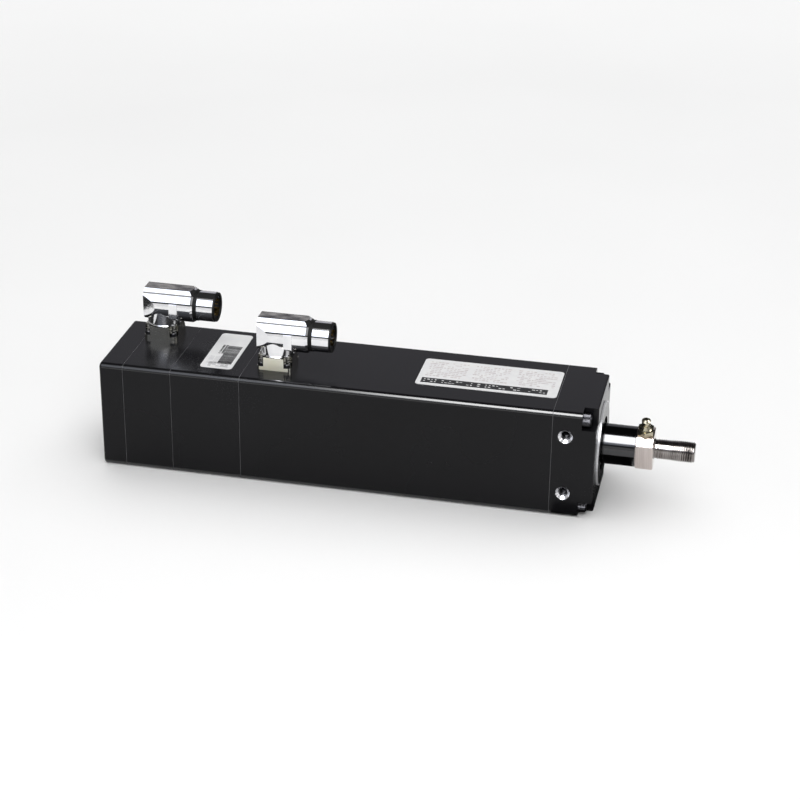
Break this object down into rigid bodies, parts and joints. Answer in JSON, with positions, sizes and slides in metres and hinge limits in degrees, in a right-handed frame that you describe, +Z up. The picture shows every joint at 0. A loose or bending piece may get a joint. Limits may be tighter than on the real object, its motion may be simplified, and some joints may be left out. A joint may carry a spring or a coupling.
{
  "type": "electric cylinder",
  "caption": "Square black servo electric cylinder with a hollow-rotor ball screw, sliding rod with threaded end, swivelling angled plug connectors and side mounting holes.",
  "frame": {"origin": "rod axis at the plane of the front face, under the low round pilot boss", "axes": "+X along the rod towards its threaded end, +Z up through the face with the connectors, +Y to the left of the rod seen from behind"},
  "size_m": [0.443, 0.084, 0.1233],
  "materials": {
    "black_housing": "gloss black anodised",
    "gasket": "thin grey seal",
    "zinc_steel": "zinc plated",
    "black_steel": "blackened",
    "bearing_bronze": "turned",
    "black_rubber": "matt",
    "lamination": "stacked sheet",
    "copper": "enamelled winding",
    "bearing_steel": "ground and polished",
    "cage_plastic": "moulded",
    "machined_steel": "machined",
    "friction_lining": "lining",
    "machined_aluminium": "machined",
    "circuit_board": "printed board",
    "chrome_zinc": "nickel plated die casting",
    "label_white": "satin film",
    "magnet": "nickel plated",
    "black_rod": "black hard chrome",
    "rod_end_steel": "turned",
    "nipple_brass": "plated brass",
    "black_plastic": "moulded",
    "insert_plastic": "moulded",
    "contact_gold": "gold plated"
  },
  "bodies": {
    "housing": {"rear_cover": "black_housing", "feedback_housing": "black_housing", "brake_housing": "black_housing", "stator_housing": "black_housing", "front_housing": "black_housing", "section_gaskets": "gasket", "corner_screws": "black_steel", "tie_screws": "black_steel", "rod_bushing": "bearing_bronze", "rod_seal": "black_rubber", "rod_wiper": "black_rubber", "stator_core": "lamination", "stator_windings": "copper", "thrust_outer_ring": "bearing_steel", "bearing_retainer": "machined_steel", "retainer_screws": "zinc_steel", "front_outer_ring": "bearing_steel", "brake_magnet": "machined_steel", "brake_coil": "copper", "brake_plate": "machined_steel", "brake_screws": "zinc_steel", "encoder_body": "machined_aluminium", "encoder_board": "circuit_board", "connector_flanges": "chrome_zinc", "flange_screws": "black_steel", "data_label": "label_white", "code_label": "label_white"},
    "rotor": {"rotor_tube": "machined_steel", "rotor_magnets": "magnet", "rotor_hub": "machined_steel", "ball_screw": "bearing_steel", "lock_nut": "machined_steel", "thrust_inner_ring": "bearing_steel", "front_inner_ring": "bearing_steel", "brake_disc": "friction_lining", "encoder_disc": "machined_aluminium"},
    "rod": {"thrust_tube": "black_rod", "ball_nut": "bearing_steel", "nut_collar": "bearing_bronze", "rod_end": "rod_end_steel", "grease_nipple": "nipple_brass"},
    "screw_bearing_rollers": {"thrust_rollers": "bearing_steel", "thrust_cage": "cage_plastic"},
    "front_bearing_needles": {"front_needles": "bearing_steel", "front_cage": "cage_plastic"},
    "armature": {"brake_armature": "machined_steel"},
    "feedback_connector": {"feedback_elbow": "chrome_zinc", "feedback_seal": "black_rubber", "feedback_ring": "chrome_zinc", "feedback_bush": "black_plastic", "feedback_insert": "insert_plastic", "feedback_pins": "contact_gold"},
    "power_connector": {"power_elbow": "chrome_zinc", "power_seal": "black_rubber", "power_ring": "chrome_zinc", "power_bush": "black_plastic", "power_insert": "insert_plastic", "power_pins": "contact_gold"}
  },
  "joints": [
    {"name": "rotor_spin", "type": "hinge", "parent": "housing", "child": "rotor", "pos_m": [-0.15, 0, 0], "axis": [1, 0, 0], "range_deg": [0, 5400]},
    {"name": "rod_slide", "type": "slide", "parent": "housing", "child": "rod", "axis": [1, 0, 0], "range_m": [0, 0.1505]},
    {"name": "screw_bearing_roll", "type": "hinge", "parent": "housing", "child": "screw_bearing_rollers", "pos_m": [-0.2757, 0, 0], "axis": [1, 0, 0], "range_deg": [0, 2179.6]},
    {"name": "front_bearing_roll", "type": "hinge", "parent": "housing", "child": "front_bearing_needles", "pos_m": [-0.0275, 0, 0], "axis": [1, 0, 0], "range_deg": [0, 2583.4]},
    {"name": "brake_release", "type": "slide", "parent": "housing", "child": "armature", "axis": [1, 0, 0], "range_m": [0, 0.0003]},
    {"name": "feedback_swivel", "type": "hinge", "parent": "housing", "child": "feedback_connector", "pos_m": [-0.343, 0.023, 0.068], "axis": [0, 0, 1], "range_deg": [-160, 160]},
    {"name": "power_swivel", "type": "hinge", "parent": "housing", "child": "power_connector", "pos_m": [-0.244, -0.0105, 0.068], "axis": [0, 0, 1], "range_deg": [-160, 160]}
  ],
  "couplings": [
    {"joint": "rod_slide", "follows": "rotor_spin", "m_per_rad": 0.0015915},
    {"joint": "screw_bearing_roll", "follows": "rotor_spin", "ratio": 0.40177},
    {"joint": "front_bearing_roll", "follows": "rotor_spin", "ratio": 0.47656}
  ]
}
